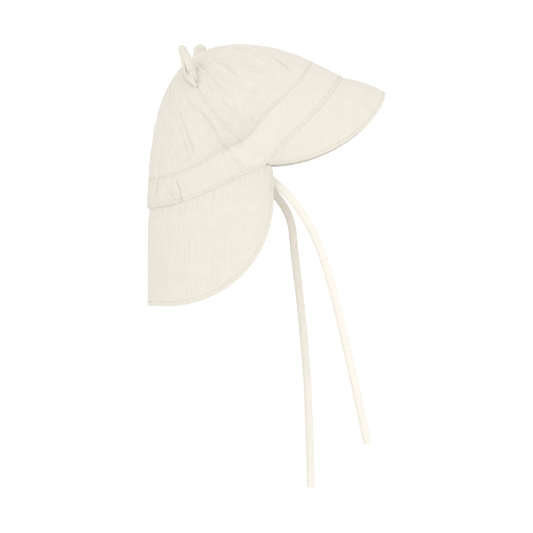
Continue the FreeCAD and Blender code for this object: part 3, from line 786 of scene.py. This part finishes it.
# -------------------- neck flap
FLAP_COLUMNS, FLAP_ROWS = 561, 131
FLAP_TRIM = 0.006  # the share of its seam that the flap leaves free at each end
FLAP_ROLL, FLAP_CLOTH = 1.1, 0.9  # its hem's radius and its cloth's thickness
FLAP_INSET = 2.5  # from its hem's edge to its line of stitches
FLAP_LINING_IN = 1.25  # how far its lining lies inside
BACK_IN = 1.8  # the cloth hangs this far inside the oval at the back
SETTLED = 17  # mm below the seam where the flap's shape has become the oval's
CORNER_POINTS, ARC_POINTS, HEM_POINTS = 60, 400, 2000
start_angle = math.acos((FLAP_FRONT_X - FLAP_CENTRE_X) / FLAP_LENGTH)
wall_angle = np.linspace(start_angle, 2 * math.pi - start_angle, FINE)
wall_line = np.stack([
    FLAP_CENTRE_X + FLAP_LENGTH * np.cos(wall_angle),
    -FLAP_WIDTH * np.sin(wall_angle),
], -1)
wall_reach = measured(wall_line)
wall_total = wall_reach[-1]
wall_out = unit(np.stack([np.cos(wall_angle) / FLAP_LENGTH, -np.sin(wall_angle) / FLAP_WIDTH], -1))


def wall(across):
    """x and y of the flap's upright oval, across mm from its front right end, and its outward direction."""
    return sample(across, wall_reach, wall_line), unit(sample(across, wall_reach, wall_out))


corner_x = np.linspace(FLAP_FRONT_X, SIDE[0], CORNER_POINTS)
corner_disc, _ = side_view(corner_x, np.full(CORNER_POINTS, SIDE[1]))
top_disc = even(mirrored(np.concatenate([corner_disc[:-1], LOWER_BACK])), FINE, dome)
flap_top = dome(top_disc) - SEAM_GAP * dome_normals(top_disc)
flap_top = line_share(flap_top, FLAP_COLUMNS, FLAP_TRIM)
top_angle = np.arctan2(-flap_top[:, 1] / FLAP_WIDTH, (flap_top[:, 0] - FLAP_CENTRE_X) / FLAP_LENGTH)
top_angle = np.where(top_angle < 0, top_angle + 2 * math.pi, top_angle)
top_across = np.interp(top_angle, wall_angle, wall_reach)

arc = np.linspace(0, math.pi / 2, ARC_POINTS)
arc_x = FLAP_FRONT_X - FLAP_CORNER + FLAP_CORNER * np.cos(arc)
arc_z = FLAP_BOTTOM_Z + FLAP_CORNER - FLAP_CORNER * np.sin(arc)
right_wall = wall_angle < math.pi
arc_across = np.interp(-arc_x, -wall_line[right_wall, 0], wall_reach[right_wall])
right_hem = np.concatenate([
    [[0, SIDE[1]]],
    np.stack([arc_across, arc_z], -1),
    [[wall_total / 2, FLAP_BOTTOM_Z]],
])
right_hem = even(right_hem, HEM_POINTS)
left_hem = right_hem[-2::-1] * [-1, 1] + [wall_total, 0]
hem = line_share(np.concatenate([right_hem, left_hem]), FLAP_COLUMNS, FLAP_TRIM)

flat_flap = between(np.stack([top_across, flap_top[:, 2]], -1), hem, FLAP_ROWS, 0.55)
across, height = flat_flap[..., 0], flat_flap[..., 1]
place, outward = wall(across)
top_place, _ = wall(top_across)
flap_normals = np.concatenate([outward, np.zeros(outward.shape[:2] + (1,))], -1)
from_top, from_hem = distances(flat_flap)
settle = 1 - step(from_top, 0, SETTLED)
offset = (flap_top[None, :, :2] - top_place[None]) * settle[..., None]
place = place - outward * (BACK_IN * (1 - settle) * step(-place[..., 0], 30, 80))[..., None]
flap_base = np.concatenate([place + offset, height[..., None]], -1)
down = np.clip(from_top / 110, 0, 1)
flap_lift = 0.65 * crinkles(across, height + 0.2 * flap_base[..., 1], 4.6, 51, 0.008)
flap_lift += 0.4 * crinkles(across, height, 12.6, 55, 0.1) * (1 - step(from_top, 10, 60))
flap_lift += 0.7 * noise(across / 38, height / 90, 57) * down
flap_lift = flap_lift + seam(from_top, 0.1) + 0.25 * bell(from_hem - 1.0, 0.9)
flap_lift -= 0.07 * bell(from_hem - FLAP_INSET, 0.5)
flap_face = flap_base + flap_normals * flap_lift[..., None]
flap_normals = grid_normals(flap_base, flap_normals)
flap_outside = tucked(flap_face, flap_normals, 0.9)
flap_cloth = solid_sheet("flap_cloth", *rolled(flap_outside, flap_normals, FLAP_ROLL), FLAP_CLOTH)
dress(flap_cloth, MUSLIN, "muslin", None, "flap_outer")
inner_lift = -FLAP_LINING_IN + 0.8 * (flap_lift - 0.4)
inner_rows = slice(1, FLAP_ROWS - 2)
inner_face = (flap_base + flap_normals * inner_lift[..., None])[inner_rows]
flap_inside = solid_sheet("flap_inside", inner_face, flap_normals[inner_rows], 0.7)
dress(flap_inside, INSIDE, "lining", None, "flap_lining")
flap_stitches = stitches("flap_stitches", [inset_line(flap_face, flap_normals, from_hem, FLAP_INSET)])
dress_stitches(flap_stitches, "muslin", None)
for piece in (flap_cloth, flap_inside, flap_stitches):
    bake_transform(piece)

# -------------------- ears
EAR_COLUMNS, EAR_ROWS = 81, 61
EAR_THICK, THICK_SHARE = 3.2, 0.55  # an ear's thickness, and the most that it may be for half its width
EAR_LINING_ROWS, EAR_LINING_THICK = 13, 0.8
RIGHT_EAR = [  # from foot to tip: x, y, z, half its width, its depth for that, how far its lips come round
    (-39.5, -43.0, 47.4, 1.0, 1.0, 0.8), (-42.1, -39.5, 52.7, 3.5, 1.3, 1.9),
    (-45.1, -33.6, 59.5, 5.3, 1.3, 2.6), (-47.3, -33.5, 66.3, 5.4, 1.15, 2.82),
    (-49.5, -35.2, 73.1, 4.6, 0.95, 3.0), (-51.8, -36.9, 79.0, 3.9, 0.8, 3.08),
    (-53.1, -38.0, 83.0, 3.5, 0.75, 3.1),
]
LEFT_EAR = [
    (-41.0, 42.5, 47.5, 1.0, 1.0, 0.8), (-41.6, 38.5, 53.5, 4.0, 1.2, 1.9),
    (-40.6, 33.5, 61.0, 5.8, 1.2, 2.6), (-39.2, 34.0, 69.5, 6.0, 1.0, 2.85),
    (-38.0, 35.5, 77.0, 5.8, 0.85, 3.0), (-37.0, 37.0, 86.0, 5.6, 0.75, 3.05),
]


def ear(name, line, mouth, tip_radius, body):
    """A tab folded lengthways along a line, round at its tip, with its two lips towards the direction mouth,
    and the lining that shows between them."""
    line = through(line, EAR_COLUMNS)
    centre, radius, deep, close = line[:, :3], line[:, 3], line[:, 4, None], line[:, 5]
    up = unit(np.gradient(centre, axis=0))
    reach = measured(centre)
    left = reach[-1] - reach
    radius = radius * np.sqrt(np.clip(1 - np.clip(1 - left / tip_radius, 0, 1) ** 2, 0.02, 1))
    across = unit(np.cross(up, mouth))
    facing = unit(np.cross(across, up))
    angle = np.linspace(-1, 1, EAR_ROWS)[:, None] * close[None]
    sine, cosine = np.sin(angle)[..., None], np.cos(angle)[..., None]
    face = centre[None] + radius[None, :, None] * (across[None] * sine - deep * facing[None] * cosine)
    normals = unit(deep * across[None] * sine - facing[None] * cosine)
    wrinkle = 0.3 * crinkles(radius[None] * angle, reach[None], 2.4, 97) * step(radius, 1, 3)
    thickness = np.minimum(EAR_THICK, THICK_SHARE * radius)[:, None]
    piece = solid_sheet(name, face + normals * wrinkle[..., None], normals, thickness)
    dress(piece, MUSLIN, "muslin", None, f"{body}_outer")
    share = np.linspace(-0.72, 0.72, EAR_LINING_ROWS)[:, None, None]
    inward = deep * facing[None] * (0.6 + 0.2 * share**2)
    inner_face = centre[None] + radius[None, :, None] * (across[None] * share + inward)
    inner_normals = np.broadcast_to(facing[None], inner_face.shape)
    lining = solid_sheet(f"{body}_inside", inner_face, inner_normals, EAR_LINING_THICK)
    dress(lining, MUSLIN, "muslin", None, f"{body}_inner")
    for part in (piece, lining):
        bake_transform(part)


ear("right_ear_tab", RIGHT_EAR, np.array([-0.6, -1.0, 0.0]), 3.3, "right_ear")
ear("left_ear_tab", LEFT_EAR, np.array([-0.45, 1.0, 0.0]), 5.2, "left_ear")


# -------------------- chin ties
TIE_ROWS, TIE_STITCH_ROW = 17, 14
TIE_STEP = 0.9  # mm between its columns


def tie(name, route, side, body, seed):
    """A folded strap that hangs along a route of x and z, with stitches down its front edge. side is -1 for
    the wearer's right and 1 for the left."""
    start_z = route[0][1]
    points = [(x, side * (TIE_SIDE - (start_z - z) * math.sin(TIE_LEAN)), z) for x, z in route]
    curve = bpy.data.curves.new(name + "_line", "CURVE")
    curve.dimensions = "3D"
    curve.resolution_u = 24
    spline = curve.splines.new("NURBS")
    spline.points.add(len(points) - 1)
    for point, at in zip(spline.points, points):
        point.co = (*(MM * value for value in at), 1)
    spline.order_u = 3
    spline.use_endpoint_u = True
    holder = bpy.data.objects.new(name + "_line", curve)
    mesh = bpy.data.meshes.new_from_object(holder)
    line = np.array([v.co for v in mesh.vertices]) / MM
    bpy.data.objects.remove(holder)
    line = even(line, int(measured(line)[-1] / TIE_STEP))
    reach = measured(line)
    run = unit(np.gradient(line, axis=0))
    front = np.array([0, -1.0, 0])
    flat = unit(np.cross(run, front))
    front = unit(np.cross(flat, run))
    twist = 0.24 * noise(reach / 70, 0.5, seed) + 0.10 * noise(reach / 22, 0.5, seed + 1)
    flat, front = (flat * np.cos(twist)[:, None] + front * np.sin(twist)[:, None],
                   front * np.cos(twist)[:, None] - flat * np.sin(twist)[:, None])
    half = TIE_WIDTH / 2 - 0.45
    half = half * (1 + 0.03 * noise(reach / 9, 0.5, seed + 2)) * (1 - 0.14 * bell(reach[-1] - reach, 0.9))
    w = np.linspace(-1, 1, TIE_ROWS)[:, None]
    normals = np.broadcast_to(front[None], (TIE_ROWS,) + front.shape)
    relief = 0.16 * crinkles(reach[None] + 2 * w, 5 * w + reach[None] / 9, 5.2, seed + 3, 0.1)
    relief = relief - 0.2 * bell(w - 0.62, 0.1) + 0.14 * bell(w - 0.86, 0.12)
    relief += 0.1 * noise(w * 1.4, reach / 14, seed + 4)
    face = line[None] + flat[None] * (half[None] * w)[..., None]
    face = face + normals * (relief + TIE_THICK / 2)[..., None]
    strap = solid_sheet(name, face, normals, TIE_THICK - 0.2)
    dress(strap, TAPE, "tie_cloth", body, body)
    thread = stitches(name + "_stitches", [(face[TIE_STITCH_ROW, 3:-2], normals[TIE_STITCH_ROW, 3:-2])])
    dress_stitches(thread, "tie_cloth", body)


tie("right_tie_strap", RIGHT_ROUTE, -1, "right_tie", 101)
tie("left_tie_strap", LEFT_ROUTE, 1, "left_tie", 111)

# -------------------- floor and light
FLOOR_Z, FLOOR_HALF = -0.42, 30.0  # metres
floor_mesh = bpy.data.meshes.new("floor")
corners = [(x * FLOOR_HALF, y * FLOOR_HALF, FLOOR_Z) for x, y in ((-1, -1), (1, -1), (1, 1), (-1, 1))]
floor_mesh.from_pydata(corners, [], [(0, 1, 2, 3)])
floor = bpy.data.objects.new("floor", floor_mesh)
bpy.context.scene.collection.objects.link(floor)
pale = bpy.data.materials.new("pale_floor")
pale.use_nodes = True
shader = pale.node_tree.nodes["Principled BSDF"]
shader.inputs["Base Color"].default_value = (0.95, 0.95, 0.95, 1)
shader.inputs["Roughness"].default_value = 1.0
shader.inputs["Specular IOR Level"].default_value = 0.0
floor_mesh.materials.append(pale)

world = bpy.data.worlds.new("studio")
world.use_nodes = True
sky = world.node_tree.nodes["Background"]
sky.inputs["Color"].default_value = (1, 1, 1, 1)
sky.inputs["Strength"].default_value = 1.12
bpy.context.scene.world = world

LIT_PLACE = Vector((0, 0, -0.05))  # every light faces this


def soft_light(name, location, size, power):
    """A square lamp, its size in metres."""
    light = bpy.data.lights.new(name, "AREA")
    light.size = size
    light.energy = power
    lamp = bpy.data.objects.new(name, light)
    lamp.location = location
    lamp.rotation_euler = (LIT_PLACE - Vector(location)).to_track_quat("-Z", "Y").to_euler()
    bpy.context.scene.collection.objects.link(lamp)


soft_light("key", (1.0, -3.0, 0.9), 1.6, 10.5)
soft_light("fill", (0.2, -3.0, -0.3), 1.2, 7.5)
soft_light("side", (-2.4, -2.0, 0.6), 1.6, 4.0)
